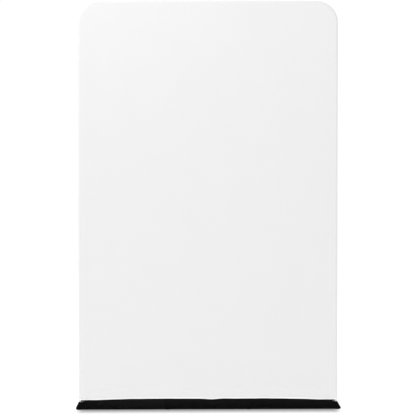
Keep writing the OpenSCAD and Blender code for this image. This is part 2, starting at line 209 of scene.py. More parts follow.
def merged_copy(node):
    """A node's mesh as a clean bmesh of its own, with its doubles merged and its flat faces whole."""
    bm = bmesh.new()
    bm.from_mesh(nodes[node].data)
    bmesh.ops.remove_doubles(bm, verts=bm.verts, dist=SAME_POINT)
    bmesh.ops.dissolve_limit(bm, angle_limit=SAME_PLANE, verts=bm.verts, edges=bm.edges)
    return bm


def finished_piece(name, bm, material, body="root", smooth_below=35):
    """Turns a bmesh into a piece that rides a body, shaded smooth where its faces meet at a low angle."""
    mesh = bpy.data.meshes.new(name)
    bm.to_mesh(mesh)
    bm.free()
    piece = bpy.data.objects.new(name, mesh)
    bpy.context.scene.collection.objects.link(piece)
    mesh.materials.append(material)
    mesh.shade_smooth()
    mesh.set_sharp_from_angle(angle=math.radians(smooth_below))
    if body:
        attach(piece, body)
    return piece


def ease_edges(bm, width, above=40, keep=lambda edge: True):
    """Rounds the edges over which a solid turns by more than an angle."""
    sharp = [e for e in bm.edges if e.is_manifold and e.calc_face_angle(0) > math.radians(above) and keep(e)]
    bmesh.ops.bevel(bm, geom=sharp, offset=width, offset_type="OFFSET", affect="EDGES", segments=3,
                    profile=0.5, material=-1, clamp_overlap=True)


def on_outline(edge):
    """Whether an edge lies on a plate's own outline, and not in one of its screw holes."""
    for end in edge.verts:
        near_joint = abs(abs(end.co.x) - plate_high.x) < PLATE_JOINT_BAND
        near_side = near_joint or abs(end.co.x) > BASE_HALF_WIDTH - OUTLINE_BAND
        if not near_side and abs(abs(end.co.y) - BASE_HALF_DEPTH) > OUTLINE_BAND:
            return False
    return True


def let_bounce_through(piece):
    """Lets the light off the white floor pass a black piece of the base, so that it doesn't dim the cover."""
    piece.visible_diffuse = False


plate_coat = coated("black_powder_coat", COAT_BLACK, COAT_RUBBED, COAT_GRAIN, plate_rim)
for plate in ("base_plate_left", "base_plate_middle", "base_plate_right"):
    blank = merged_copy(plate)
    ease_edges(blank, PLATE_EASE, keep=on_outline)
    piece = finished_piece(plate + "_coated", blank, plate_coat)
    let_bounce_through(piece)
    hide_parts(plate)


# ---- Joiner straps ----
# Two flat steel straps screwed up into the underside of the plates, across their joints.
# They have the same black coat, a shade greyer.

STRAP_BLACK = (0.0085, 0.0085, 0.0090, 1)
STRAP_RUB_TO = 2.4 * MM

_, strap_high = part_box("joiner_straps")


def strap_rim(finish, place):
    """1 along the long ends of the straps, and 0 a few millimetres in."""
    y = finish.along(place)[1]
    return 1 - (strap_high.y - abs(y)).eased(RUB_FROM, STRAP_RUB_TO)


def give_finish(material, *names):
    """Gives CAD nodes their finish, in every slot of their mesh."""
    for name in names:
        for holder in nodes[name].material_slots:
            holder.material = material


give_finish(coated("strap_powder_coat", STRAP_BLACK, COAT_RUBBED, COAT_GRAIN, strap_rim), "joiner_straps")
let_bounce_through(nodes["joiner_straps"])


# ---- Screws ----
# Countersunk black-oxide screws hold the straps and the spigots, and zinc-plated pan heads hold the feet.
# The oxide is oily and slightly uneven, and the zinc has a faint blue and yellow bloom.

OXIDE = (0.030, 0.029, 0.031, 1)
OXIDE_WORN = (0.085, 0.080, 0.076, 1)
ZINC = (0.50, 0.52, 0.55, 1)
ZINC_BLOOM = (0.56, 0.53, 0.45, 1)
TOOL_MARK = 0.5 * MM


def plated(name, base, bloom, patch, low_rough, high_rough, pits=0.02 * MM):
    """Plated or oxidised steel: two tones in soft patches, with fine tooling marks."""
    finish = Finish(name, Metallic=1.0)
    place = finish.where()
    patches = finish.grain(place, patch, detail=3.0)
    marks = finish.grain(place, TOOL_MARK)
    return finish.varies(
        Base_Color=finish.mixed(patches.eased(0.35, 0.65), base, bloom),
        Roughness=(patches * 0.6 + marks * 0.4).eased(0.3, 0.7, low_rough, high_rough),
        Normal=finish.relief(marks, pits),
    )


give_finish(plated("black_oxide", OXIDE, OXIDE_WORN, 3 * MM, 0.36, 0.58), "strap_screws", "spigot_screws")
give_finish(plated("zinc_plate", ZINC, ZINC_BLOOM, 4 * MM, 0.24, 0.42), "foot_screws")


# ---- Rubber feet ----
# Eight round pads of black moulded rubber, each screwed up into a plate through its own well.
# Floor dust has greyed their lower rims.

RUBBER = (0.016, 0.016, 0.016, 1)
RUBBER_DUSTY = (0.060, 0.058, 0.055, 1)
RUBBER_PORE = 0.6 * MM
RUBBER_RELIEF = 0.05 * MM
DUST_PATCH = 5 * MM

foot_low, foot_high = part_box("rubber_feet")

rubber = Finish("moulded_rubber", Metallic=0.0, Specular_IOR_Level=0.25)
place = rubber.where()
_, _, height = rubber.along(place)
pores = rubber.grain(place, RUBBER_PORE, detail=3.0)
dust = height.eased(foot_low.z, foot_high.z, 1.0, 0.15) * rubber.grain(place, DUST_PATCH).eased(0.4, 0.7)
give_finish(
    rubber.varies(
        Base_Color=rubber.mixed(dust, RUBBER, RUBBER_DUSTY),
        Roughness=0.72 + pores * 0.16,
        Normal=rubber.relief(pores, RUBBER_RELIEF),
    ),
    "rubber_feet",
)
let_bounce_through(nodes["rubber_feet"])


# ---- Spigots ----
# Two zinc-plated steel tubes standing on the outer plates, each with a threaded plug welded into its foot.
# The uprights slide down over them, which leaves fine upright scratches.

SPIGOT_STEEL = (0.46, 0.47, 0.49, 1)
SPIGOT_SCRATCHED = (0.62, 0.62, 0.62, 1)
SCRATCH_STRETCH = 40
SCRATCH_W = 0.35 * MM
SCRATCH_RELIEF = 0.004 * MM
SCRATCH_BAND = 3 * MM
DRAWN_CLOUD = 60 * MM

post_low, post_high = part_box("lower_tube_left")
POST_X = -(post_high.x + post_low.x) / 2


def drawn(name, base, streak_tone, rough, streak_rough, across):
    """Drawn or worn metal, with fine lines along its length.
    across gives the two values that stay the same on a line, and then the place along it."""
    finish = Finish(name, Metallic=1.0)
    place = finish.where()
    first, second, length = across(finish, place)
    lined = finish.vector(first, second, length / SCRATCH_STRETCH)
    lines = finish.grain(lined, SCRATCH_W)
    bands = finish.grain(lined, SCRATCH_BAND, detail=1.0)
    cloud = finish.grain(place, DRAWN_CLOUD)
    tone = (lines * 0.5 + bands * 0.3 + cloud * 0.2).eased(0.35, 0.65)
    return finish.varies(
        Base_Color=finish.mixed(tone, base, streak_tone),
        Roughness=rough + (lines - 0.5) * streak_rough + (cloud - 0.5) * 0.08,
        Normal=finish.relief(lines, SCRATCH_RELIEF),
    )


def up_the_post(finish, place):
    return finish.along(place)


give_finish(
    drawn("plated_spigot_steel", SPIGOT_STEEL, SPIGOT_SCRATCHED, 0.34, 0.18, up_the_post),
    "spigot_left", "spigot_right", "spigot_plugs",
)


# ---- Frame tubes ----
# The uprights, bent corners, top rail and bottom bar: drawn aluminium tube with a clear satin anodising.
# The drawing lines run along every tube, and round the corners with it.

BEND_R = 110 * MM
ANODISED = (0.63, 0.635, 0.645, 1)
ANODISED_LIGHT = (0.76, 0.765, 0.775, 1)

rail_low, rail_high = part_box("top_rail_left")
bar_low, bar_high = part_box("bottom_bar_left")
RAIL_Z = (rail_low.z + rail_high.z) / 2
BAR_Z = (bar_low.z + bar_high.z) / 2
CORNER_X = POST_X - BEND_R
CORNER_Z = RAIL_Z - BEND_R


def round_the_frame(finish, place):
    """How far out a point is from the frame's inner outline, its depth, and its place along the tube."""
    x, y, z = finish.along(place)
    past_x = (abs(x) - CORNER_X).most(0.0)
    past_z = (z - CORNER_Z).most(0.0)
    out = (past_x * past_x + past_z * past_z).math("SQRT")
    return out, y, abs(x) - z


def along_the_bar(finish, place):
    x, y, z = finish.along(place)
    return z, y, x


give_finish(
    drawn("satin_anodised_tube", ANODISED, ANODISED_LIGHT, 0.30, 0.16, round_the_frame),
    "lower_tube_left", "middle_tube_left", "upper_tube_left", "corner_elbow_left",
    "lower_tube_right", "middle_tube_right", "upper_tube_right", "corner_elbow_right",
    "top_rail_left", "top_rail_right",
)
give_finish(
    drawn("satin_anodised_bar", ANODISED, ANODISED_LIGHT, 0.30, 0.16, along_the_bar),
    "bottom_bar_left", "bottom_bar_right",
)


# ---- Bar saddles ----
# Moulded black nylon ends for the bottom bar, which cup the uprights and peg into them.
# The mould has left them with a fine even texture.

NYLON = (0.022, 0.022, 0.024, 1)
NYLON_PALE = (0.034, 0.034, 0.036, 1)
MOULD_GRAIN = 0.4 * MM
MOULD_RELIEF = 0.03 * MM
MOULD_FLOW = 14 * MM

nylon = Finish("moulded_nylon", Metallic=0.0, Specular_IOR_Level=0.45)
place = nylon.where()
sparked = nylon.grain(place, MOULD_GRAIN, detail=3.0)
flow = nylon.grain(place, MOULD_FLOW)
give_finish(
    nylon.varies(
        Base_Color=nylon.mixed(flow, NYLON, NYLON_PALE),
        Roughness=0.42 + sparked * 0.2,
        Normal=nylon.relief(sparked, MOULD_RELIEF),
    ),
    "bar_saddle_left", "bar_saddle_right",
)


# ---- Sleeves and rivets ----
# A plain aluminium sleeve inside every tube joint, riveted to one of the two tubes by a blind rivet.
# The sleeves are left as drawn, and sliding has scored them.

SLEEVE = (0.55, 0.555, 0.56, 1)
SLEEVE_SCORED = (0.72, 0.72, 0.72, 1)
RIVET = (0.66, 0.665, 0.67, 1)
RIVET_DULL = (0.50, 0.50, 0.505, 1)

give_finish(
    drawn("drawn_upright_sleeve", SLEEVE, SLEEVE_SCORED, 0.40, 0.22, round_the_frame),
    "sleeves_left", "sleeves_right", "sleeves_top",
)
give_finish(drawn("drawn_bar_sleeve", SLEEVE, SLEEVE_SCORED, 0.40, 0.22, along_the_bar), "sleeve_bottom")
give_finish(plated("rivet_aluminium", RIVET, RIVET_DULL, 1.5 * MM, 0.30, 0.48), "sleeve_rivets")


# ---- Snap buttons ----
# Domed steel buttons, nickel plated, each on its spring and standing out of its tube to lock a joint.
# Thumbs have polished the domes.

NICKEL = (0.60, 0.585, 0.56, 1)
NICKEL_POLISHED = (0.72, 0.705, 0.68, 1)
NICKEL_RELIEF = 0.006 * MM

button_names = [name for name in nodes if name.startswith("snap_button_")]
nickel = plated("nickel_plate", NICKEL, NICKEL_POLISHED, 2 * MM, 0.16, 0.30, pits=NICKEL_RELIEF)
give_finish(nickel, *button_names)


# ---- Snap springs ----
# A strip of blued spring steel bent to a V inside each sleeve: one arm carries the button,
# and the other bears on the far wall. The strip closes up as the button is pressed.

STRIP_T = 0.8 * MM
STRIP_W = 8 * MM
ARM_SEAT = 10.68 * MM
ARM_FLAT = 14 * MM
ARM_SLANT = 20 * MM
STRIP_BEND_R = 1.2 * MM
BEND_STEPS = 10
STRIP_EASE = 0.12 * MM
TEMPERED = (0.30, 0.31, 0.33, 1)
TEMPERED_STRAW = (0.38, 0.34, 0.27, 1)

spring_steel = plated("tempered_strip", TEMPERED, TEMPERED_STRAW, 6 * MM, 0.28, 0.44)


def strip_profile():
    """The inner line of the strip, from the end of one arm round the bend to the end of the other."""
    arm = ARM_SEAT - STRIP_T
    line = [(arm, ARM_SLANT + ARM_FLAT), (arm, ARM_SLANT)]
    for step in range(BEND_STEPS + 1):
        turn = math.pi * step / BEND_STEPS
        line.append((STRIP_BEND_R * math.cos(turn), -STRIP_BEND_R * math.sin(turn)))
    return line + [(-arm, ARM_SLANT), (-arm, ARM_SLANT + ARM_FLAT)]


def bent_strip():
    """The strip about its own middle: X from arm to arm, Y across its width, and Z along the tube
    from its bend."""
    bm = bmesh.new()
    line = [bm.verts.new((x, -STRIP_W / 2, z)) for x, z in strip_profile()]
    edges = [bm.edges.new(pair) for pair in zip(line, line[1:])]
    band = bmesh.ops.extrude_edge_only(bm, edges=edges)["geom"]
    far = [v for v in band if isinstance(v, bmesh.types.BMVert)]
    bmesh.ops.translate(bm, verts=far, vec=(0, STRIP_W, 0))
    bmesh.ops.recalc_face_normals(bm, faces=bm.faces)
    inward = bm.faces[:][0].normal.x * bm.faces[:][0].calc_center_median().x < 0
    if inward:
        bmesh.ops.reverse_faces(bm, faces=bm.faces)
    bmesh.ops.solidify(bm, geom=bm.faces[:], thickness=-STRIP_T)
    bmesh.ops.recalc_face_normals(bm, faces=bm.faces)
    ease_edges(bm, STRIP_EASE, above=60)
    return bm


def spring_place(button):
    """Where a button's spring sits: local X out through the button, and Z along the tube to the button."""
    low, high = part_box(button)
    middle = (low + high) / 2
    short = button.replace("snap_button_", "")
    if short.startswith("rail"):
        side = -1 if middle.x < 0 or "middle" in short else 1
        out, tube = Vector((0, 0, -1)), Vector((-side, 0, 0))
        seat = Vector((middle.x, 0, RAIL_Z))
    elif short == "bar":
        out, tube = Vector((0, 0, 1)), Vector((1, 0, 0))
        seat = Vector((middle.x, 0, BAR_Z))
    else:
        side = -1 if middle.x < 0 else 1
        out, tube = Vector((-side, 0, 0)), Vector((0, 0, 1))
        seat = Vector((side * POST_X, 0, middle.z))
    across = tube.cross(out)
    turned = Matrix((out, across, tube)).transposed().to_4x4()
    bend = seat - tube * (ARM_SLANT + ARM_FLAT / 2)
    return Matrix.Translation(bend) @ turned, seat, out


for button in button_names:
    strip = bent_strip()
    placed, seat, out = spring_place(button)
    bmesh.ops.transform(strip, matrix=placed, verts=strip.verts)
    short = button.replace("snap_button_", "")
    spring = finished_piece("snap_spring_" + short, strip, spring_steel, body=None,
                            smooth_below=25)
    seat - out * ARM_SEAT
    seat + out * ARM_SEAT
    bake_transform(spring)
    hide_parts("snap_springs")


# ---- Cover ----
# White stretch knit, cut as a front panel, a back panel and a flap below the zip, and sewn into a bag.
# It is pulled down over the frame, turns under the bottom bar, and hangs open round the two uprights.

KNIT_T = 0.45 * MM
WRAP_R = 15.6 * MM
WRAP_STEPS = 9
CORNER_STEPS = 16
SEAM_R = 15.35 * MM
RECESS = 0.9 * MM
RECESS_FADE = 17 * MM
HEM_OPEN_Z = DECK_Z + 12.8 * MM
HEM_MID_Z = 32.2 * MM
HEM_FALL_FROM = 0.36
HEM_FALL_TO = 0.71
HEM_DIP = 4.4 * MM
HEM_DIP_X = 16 * MM
HEM_DIP_HALF = 75 * MM
HEM_RISE_POWER = 1.6
HEM_BAND = 90 * MM
# The band above the hem that is partly whiter for its two layers and partly a painted highlight.
HEM_DOUBLED_HIGHLIGHT_TO = 4.2 * MM
HEM_DOUBLED_HIGHLIGHT_FADE = 2 * MM
NOTCH_X = 712 * MM
ZIP_Z = (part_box("zip_half_upper")[0].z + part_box("zip_half_lower")[1].z) / 2
ZIP_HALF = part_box("zip_half_upper")[1].x
ZIP_REVEAL = 6 * MM
# A share of the same whiter colour, partly a painted highlight, along the turned-in edges at the zip.
ZIP_DOUBLED_HIGHLIGHT = 0.3
ZIP_DOUBLED_HIGHLIGHT_TO = 8 * MM
ZIP_DOUBLED_HIGHLIGHT_FADE = 1.5 * MM
ZIP_END_FADE = 8 * MM
KNIT_WHITE = (0.838, 0.838, 0.838, 1)
KNIT_SHADE = (0.671, 0.671, 0.675, 1)
# Whiter for two layers of knit, and raised further as a painted highlight.
KNIT_DOUBLED_HIGHLIGHT = (0.96, 0.96, 0.96, 1)
KNIT_CLOUD = 180 * MM
KNIT_FUZZ = 1.7 * MM
KNIT_RELIEF = 0.09 * MM
WALE = 0.72 * MM
COURSE = 0.60 * MM

HELD_IN = 3 * MM
SLACK = 0.0012
SLACK_HIGH = 0.16
STRETCH = 0.004
SETTLE_FRAMES = 14
INWARD_MOST = 1.5 * MM
OUTWARD_MOST = 3 * MM
TUBE_KEEP_OFF = 6 * MM
TUBE_KEEP_FADE = 12 * MM

# Columns over an upright and row gaps are in millimetres. Each widening is how much wider the rows get,
# from what height above the lower edge, and over what height, both in metres.
edge_columns = [0, 4, 8, 12, 16, 22, 29, 35, 44, 56, 70]
MIDDLE_COLUMNS = 108
ROW_GAP = 1.3
row_widenings = [(5.2, 0.024, 0.05), (17.5, 0.16, 0.5)]
ROWS_END_BELOW = 30 * MM

# Waves are a size in millimetres, a rate along the wall and a start.
hem_ripples = [(0.35, 23, 0.6), (0.25, 57, 2.1)]


def smooth(value):
    """0 up to 0, 1 from 1, and an even S between."""
    share = min(1.0, max(0.0, value))
    return share * share * (3 - 2 * share)


def waves(x, parts, level=0.0):
    """A level with a few sine waves along the wall on it."""
    return sum((size * math.sin(rate * x + start) for size, rate, start in parts), level)


def across_panel():
    """Where the columns of a panel's mesh stand, closer together over the uprights."""
    left = [-POST_X + step * MM for step in edge_columns]
    width = -2 * left[-1]
    middle = [left[-1] + width * step / MIDDLE_COLUMNS for step in range(1, MIDDLE_COLUMNS)]
    return left + middle + [-x for x in reversed(left)]


def up_panel(start):
    """The heights of a panel's rows: close together near its lower edge, wider up the wall,
    and by angle at the corners."""
    rows = [start]
    while rows[-1] < CORNER_Z - ROWS_END_BELOW:
        above = rows[-1] - start
        gap = sum((more * smooth((above - begin) / over) for more, begin, over in row_widenings), ROW_GAP)
        rows.append(rows[-1] + gap * MM)
    rows[-1] = CORNER_Z
    turns = [math.pi / 2 * step / CORNER_STEPS for step in range(1, CORNER_STEPS + 1)]
    return rows + [CORNER_Z + BEND_R * math.sin(turn) for turn in turns]


def panel_half(z):
    """Half the frame's width at a height, from centreline to centreline."""
    past = min(BEND_R, max(0.0, z - CORNER_Z))
    return CORNER_X + math.sqrt(BEND_R ** 2 - past ** 2)


def hem_line(x):
    """The height at which the cover's face ends, with a small dip near the middle of the wall."""
    past = (abs(x) - HEM_FALL_FROM) / (HEM_FALL_TO - HEM_FALL_FROM)
    ends = min(1.0, max(0.0, past)) ** HEM_RISE_POWER
    dip = smooth(1 - abs(x - HEM_DIP_X) / HEM_DIP_HALF)
    z = HEM_MID_Z - HEM_DIP * dip + waves(x, hem_ripples) * MM * (1 - ends)
    return z + (HEM_OPEN_Z - z) * ends


def outward(x, z):
    """The direction in which the frame's outline faces nearest to a point, across the wall."""
    side = max(0.0, abs(x) - CORNER_X)
    top = max(0.0, z - CORNER_Z)
    away = Vector((math.copysign(side, x), 0, top))
    return away.normalized() if away.length > 1e-9 else Vector((0, 0, 1))


def from_outline(x, z):
    """How far a point lies inside the frame's centreline, at the sides and the top."""
    side = max(0.0, abs(x) - CORNER_X)
    top = max(0.0, z - CORNER_Z)
    return max(0.0, BEND_R - math.hypot(side, top)) if side or top else BEND_R


def recess(x, z, level_to):
    """How far the face lies back from the tubes, between them and above a height up to which it is level."""
    inside = min(from_outline(x, z), max(0.0, z - level_to))
    return RECESS * smooth(inside / RECESS_FADE)


def panel_grid(facing, columns, rows, lower_edge, level_to):
    """A flat panel from its lower edge to the frame's centreline, facing the front (-1) or the back (1).
    The rows near the edge follow it. The 'cut' layer holds every point's place on the flat cloth."""
    bm = bmesh.new()
    bmesh.ops.create_grid(bm, x_segments=len(columns) - 1, y_segments=len(rows) - 1, size=1)
    cut = bm.verts.layers.float_vector.new("cut")
    for v in bm.verts:
        across = round((v.co.x + 1) / 2 * (len(columns) - 1))
        up = round((v.co.y + 1) / 2 * (len(rows) - 1))
        z = rows[up]
        x = columns[across] * panel_half(z) / POST_X
        lowest = lower_edge(x)
        reach = rows[0] + HEM_BAND
        if z < reach:
            z = lowest + (reach - lowest) * (z - rows[0]) / (reach - rows[0])
        v.co = (x, facing * (WRAP_R - recess(x, z, level_to)), z)
        v[cut] = (x, z, 0)
    return bm


FOLDS = 64
FOLD_TOP = 0.14
FOLD_FADE_FROM = 0.06
FOLD_FADE = 0.08
FOLD_SEED = 7
FOLD_REACH = 3
FOLD_START = 2 * MM
FOLD_START_OVER = 5 * MM
POST_KEEP_OFF = 4 * MM
POST_KEEP_FADE = 22 * MM
PRESSED_IN = -0.12

# For each fold: place along the wall, height above the hem, half length, half height, slope, and size in
# millimetres. Every range has its unit. The corner folds fan in from the open corners.
fold_ranges = [(-0.70, 0.70, 1), (6, 70, MM), (16, 55, MM), (2.6, 9, MM), (-0.22, 0.22, 1), (-0.8, 1.2, 1)]
corner_folds = [
    (-0.655, 62 * MM, 60 * MM, 9 * MM, 0.85, 1.5), (-0.60, 36 * MM, 60 * MM, 6 * MM, 0.45, 1.1),
    (-0.675, 30 * MM, 40 * MM, 4 * MM, 0.55, -1.0), (0.66, 58 * MM, 60 * MM, 8 * MM, -0.8, 1.2),
    (0.58, 30 * MM, 70 * MM, 5 * MM, -0.25, 1.2), (0.64, 22 * MM, 45 * MM, 3 * MM, -0.35, -1.1),
]


def soft_folds(draws):
    """The short soft folds of slack cloth above the bar."""
    folds = []
    for _ in range(FOLDS):
        folds.append([draws.uniform(low, high) * unit for low, high, unit in fold_ranges])
    return folds + corner_folds


# Heights and sizes at the gathered hem, in millimetres.
GATHER = 1.5
GATHER_FULL = 5
GATHER_FADE_FROM = 16
GATHER_FADE = 55
CREASE = 1.6
CREASE_UP = 12.5
CREASE_HALF = 1.8
SECOND_CREASE = 0.9
SECOND_CREASE_UP = 6
SECOND_CREASE_HALF = 1.9
CREASE_SHARE = 0.42
crease_bends = [(1.3, 9, 1), (0.8, 31, 0)]
slow_beat = [(0.9, 7.3, 1.1)]
quick_beat = [(1, 19, 0.4)]
flutter = [(0.45, 41, 0)]


def gathered(x, above):
    """How far the cloth stands off the bar, above the hem line, in millimetres:
    looser below, and pinched in along a crease that comes and goes."""
    mm = above / MM
    loose = GATHER * smooth(mm / GATHER_FULL) * (1 - smooth((mm - GATHER_FADE_FROM) / GATHER_FADE))
    beat = waves(x, slow_beat) * waves(x, quick_beat)
    broken = waves(x, flutter, CREASE_SHARE + beat)
    past = mm - waves(x, crease_bends, CREASE_UP)
    crease = CREASE * min(1.0, max(0.0, broken)) * math.exp(-(past / CREASE_HALF) ** 2)
    higher = past - SECOND_CREASE_UP
    second = SECOND_CREASE * min(1.0, max(0.0, -broken)) * math.exp(-(higher / SECOND_CREASE_HALF) ** 2)
    return loose - crease - second


def loose_wrinkles(bm, facing):
    """Lets the cloth ripple softly just above its lower edge, where it is gathered under the bar."""
    folds = soft_folds(random.Random(FOLD_SEED))
    for v in bm.verts:
        above = v.co.z - hem_line(v.co.x)
        if above > FOLD_TOP:
            continue
        lift = 0.0
        for x, z, long, high, slope, size in folds:
            a = (v.co.x - x) / long
            if abs(a) < FOLD_REACH:
                b = (above - z - slope * (v.co.x - x)) / high
                lift += size * math.exp(-a * a - b * b)
        fade = 1 - smooth((above - FOLD_FADE_FROM) / FOLD_FADE)
        lift *= smooth((above - FOLD_START) / FOLD_START_OVER) * fade
        lift += gathered(v.co.x, above)
        lift *= smooth((POST_X - POST_KEEP_OFF - abs(v.co.x)) / POST_KEEP_FADE)
        v.co.y += facing * max(PRESSED_IN, lift) * MM


def on_centreline(edge):
    return all(from_outline(v.co.x, v.co.z) < 0.01 * MM for v in edge.verts)


def wrap_edges(bm, facing):
    """Carries the panel's sides and top round the tubes to the seam, a step at a time."""
    cut = bm.verts.layers.float_vector["cut"]
    rim = [e for e in bm.edges if e.is_boundary and on_centreline(e)]
    for step in range(1, WRAP_STEPS + 1):
        before, after = (math.pi / 2 * s / WRAP_STEPS for s in (step - 1, step))
        radius = WRAP_R if step < WRAP_STEPS else SEAM_R
        made = bmesh.ops.extrude_edge_only(bm, edges=rim)["geom"]
        for v in [v for v in made if isinstance(v, bmesh.types.BMVert)]:
            away = outward(v.co.x, v.co.z)
            v.co += away * (radius * math.sin(after) - WRAP_R * math.sin(before))
            v.co.y = facing * radius * math.cos(after)
            v[cut] = v[cut] + Vector((away.x, away.z, 0)) * WRAP_R * (after - before)
        rim = [e for e in made if isinstance(e, bmesh.types.BMEdge)]


# Each turn under the bar is a distance from the wall's middle and a drop below the hem line, in millimetres.
hem_turns = [(15.3, 1.3), (14.4, 2.4), (12.8, 3.0), (9.5, 3.0), (5.0, 2.6), (0.0, 2.1)]
TURN_TAUT_FROM = 0.64
TURN_TAUT_OVER = 0.07


def turn_under(bm, facing):
    """Turns the panel's lower edge under the bar to the seam below it, between the two uprights."""
    cut = bm.verts.layers.float_vector["cut"]
    lip = []
    for e in bm.edges:
        ends_low = all(abs(v.co.z - hem_line(v.co.x)) < 0.4 * MM for v in e.verts)
        if e.is_boundary and ends_low and all(abs(v.co.x) < NOTCH_X + 1 * MM for v in e.verts):
            lip.append(e)
    for depth, drop in hem_turns:
        made = bmesh.ops.extrude_edge_only(bm, edges=lip)["geom"]
        for v in [v for v in made if isinstance(v, bmesh.types.BMVert)]:
            slack = 1 - smooth((abs(v.co.x) - TURN_TAUT_FROM) / TURN_TAUT_OVER)
            z = hem_line(v.co.x) - drop * MM * slack
            moved = abs(abs(v.co.y) - depth * MM)
            v.co = (v.co.x, facing * depth * MM, z)
            v[cut] = v[cut] - Vector((0, moved, 0))
        lip = [e for e in made if isinstance(e, bmesh.types.BMEdge)]


def lay_out_cut(bm):
    """Makes the flat cloth's own measures the panel's UV map, in metres."""
    cut = bm.verts.layers.float_vector["cut"]
    cloth = bm.loops.layers.uv.new("cut")
    for face in bm.faces:
        for loop in face.loops:
            loop[cloth].uv = loop.vert[cut].xy


def mark_doubled_highlight(bm, doubled_highlight_at):
    """Notes on each point how far the cloth lies in two layers there, from 0 to 1. The same share carries the
    painted highlight at the hem.
    """
    doubled = bm.verts.layers.float.new("doubled")
    for v in bm.verts:
        v[doubled] = doubled_highlight_at(v.co)


def knit_finish():
    """The knit: rows of interlocked loops, a little greyer in their hollows as painted shade, and whiter
    where the cloth lies in two layers, which at the hem is pushed up into a painted highlight.
    """
    knit = Finish("white_stretch_knit", Metallic=0.0, Specular_IOR_Level=0.22, Sheen_Weight=0.06,
                  Sheen_Roughness=0.5)
    across, up, _ = knit.along(knit.node("ShaderNodeUVMap", {"uv_map": "cut"}))
    wale = abs((across / WALE) % 1.0 - 0.5) * 2
    loop = abs((up / COURSE + wale * 0.45) % 1.0 - 0.5) * 2
    height = (1 - wale * wale) * 0.55 + (1 - loop * loop) * 0.45
    cloud = knit.grain(knit.where(), KNIT_CLOUD, detail=3.0)
    fuzz = knit.grain(knit.where(), KNIT_FUZZ)
    doubled = knit.node("ShaderNodeAttribute", {"attribute_name": "doubled"}, outlet="Fac")
    shade = (1 - height) * 0.60 + (cloud - 0.5) * 0.07 + (fuzz - 0.5) * 0.05
    single = knit.mixed(shade.eased(-0.1, 0.7, 0.0, 0.9), KNIT_WHITE, KNIT_SHADE)
    return knit.varies(
        Base_Color=knit.mixed(doubled, single, KNIT_DOUBLED_HIGHLIGHT),
        Roughness=0.86 + (fuzz - 0.5) * 0.1,
        Normal=knit.relief(height, KNIT_RELIEF),
    )


knit = knit_finish()
columns = across_panel()


def solid_cloth(piece, thickness):
    """Gives a sheet its real thickness, half on each side."""
    wall = piece.modifiers.new("cloth_thickness", "SOLIDIFY")
    wall.thickness = thickness
    wall.offset = 0.0


def hem_doubled_highlight(place):
    """1 where the lower edge's hem doubles the cloth, on the turn under the bar and at the open corners. This
    band is partly whiter for its two layers and partly a painted highlight.
    """
    above = place.z - hem_line(place.x)
    return 1 - smooth((above - HEM_DOUBLED_HIGHLIGHT_TO) / HEM_DOUBLED_HIGHLIGHT_FADE)


def is_held(v, sewn_to):
    """Whether a point of a flat panel lies on a tube, or on the panel's sewn lower edge."""
    return from_outline(v.co.x, v.co.z) < HELD_IN or v.is_boundary or v.co.z < sewn_to


def room_behind(x, z):
    """How far the cloth may move inwards before it would meet a tube or the bar."""
    free = min(from_outline(x, z), z - BAR_Z)
    return INWARD_MOST * smooth((free - TUBE_KEEP_OFF) / TUBE_KEEP_FADE)


knit_settings = {
    "quality": 5,
    "mass": 0.004,
    "air_damping": 4.0,
    "tension_stiffness": 20,
    "compression_stiffness": 10,
    "shear_stiffness": 5,
    "bending_stiffness": 0.02,
    "vertex_group_mass": "held",
    "vertex_group_shrink": "taut",
    "shrink_min": -SLACK,
    "shrink_max": STRETCH,
}


def let_settle(bm, facing, sewn_to):
    """Lets a flat panel take up its slack under its own weight, held along its edges, by cloth simulation.
    The slack lies just above its lower edge. The mesh gets the settled places back."""
    mesh = bpy.data.meshes.new("panel_trial")
    bm.to_mesh(mesh)
    trial = bpy.data.objects.new("panel_trial", mesh)
    bpy.context.scene.collection.objects.link(trial)
    held = trial.vertex_groups.new(name="held")
    taut = trial.vertex_groups.new(name="taut")
    bm.verts.index_update()
    for v in bm.verts:
        if is_held(v, sewn_to):
            held.add([v.index], 1.0, "REPLACE")
        taut.add([v.index], smooth((v.co.z - sewn_to) / SLACK_HIGH), "REPLACE")
    cloth = trial.modifiers.new("settling", "CLOTH")
    for setting, value in knit_settings.items():
        setattr(cloth.settings, setting, value)
    cloth.collision_settings.use_collision = False
    cloth.point_cache.frame_end = SETTLE_FRAMES
    for frame_number in range(1, SETTLE_FRAMES + 1):
        bpy.context.scene.frame_set(frame_number)
    settled = trial.evaluated_get(bpy.context.evaluated_depsgraph_get()).data
    for v in bm.verts:
        place = settled.vertices[v.index].co
        inward = facing * (v.co.y - place.y)
        v.co.x = place.x
        v.co.z = place.z
        v.co.y -= facing * min(room_behind(place.x, place.z), max(-OUTWARD_MOST, inward))
    bpy.data.objects.remove(trial)
    bpy.data.meshes.remove(mesh)
    bpy.context.scene.frame_set(1)


def sewn_panel(bm, name, node, doubled_highlight_at):
    """Makes a shaped panel a piece in place of its CAD node, and gives its face for the stitches."""
    lay_out_cut(bm)
    mark_doubled_highlight(bm, doubled_highlight_at)
    bmesh.ops.recalc_face_normals(bm, faces=bm.faces)
    face = BVHTree.FromBMesh(bm)
    panel = finished_piece(name, bm, knit, smooth_below=60)
    solid_cloth(panel, KNIT_T)
    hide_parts(node)
    return panel, face


FRONT_LEVEL_TO = BAR_Z + 6 * MM
FRONT_SEWN_TO = HEM_MID_Z + 4 * MM

front = panel_grid(-1, columns, up_panel(HEM_MID_Z), hem_line, FRONT_LEVEL_TO)
let_settle(front, -1, FRONT_SEWN_TO)
loose_wrinkles(front, -1)
wrap_edges(front, -1)
turn_under(front, -1)
front_panel, front_face = sewn_panel(front, "cover_front_panel", "cover_front", hem_doubled_highlight)


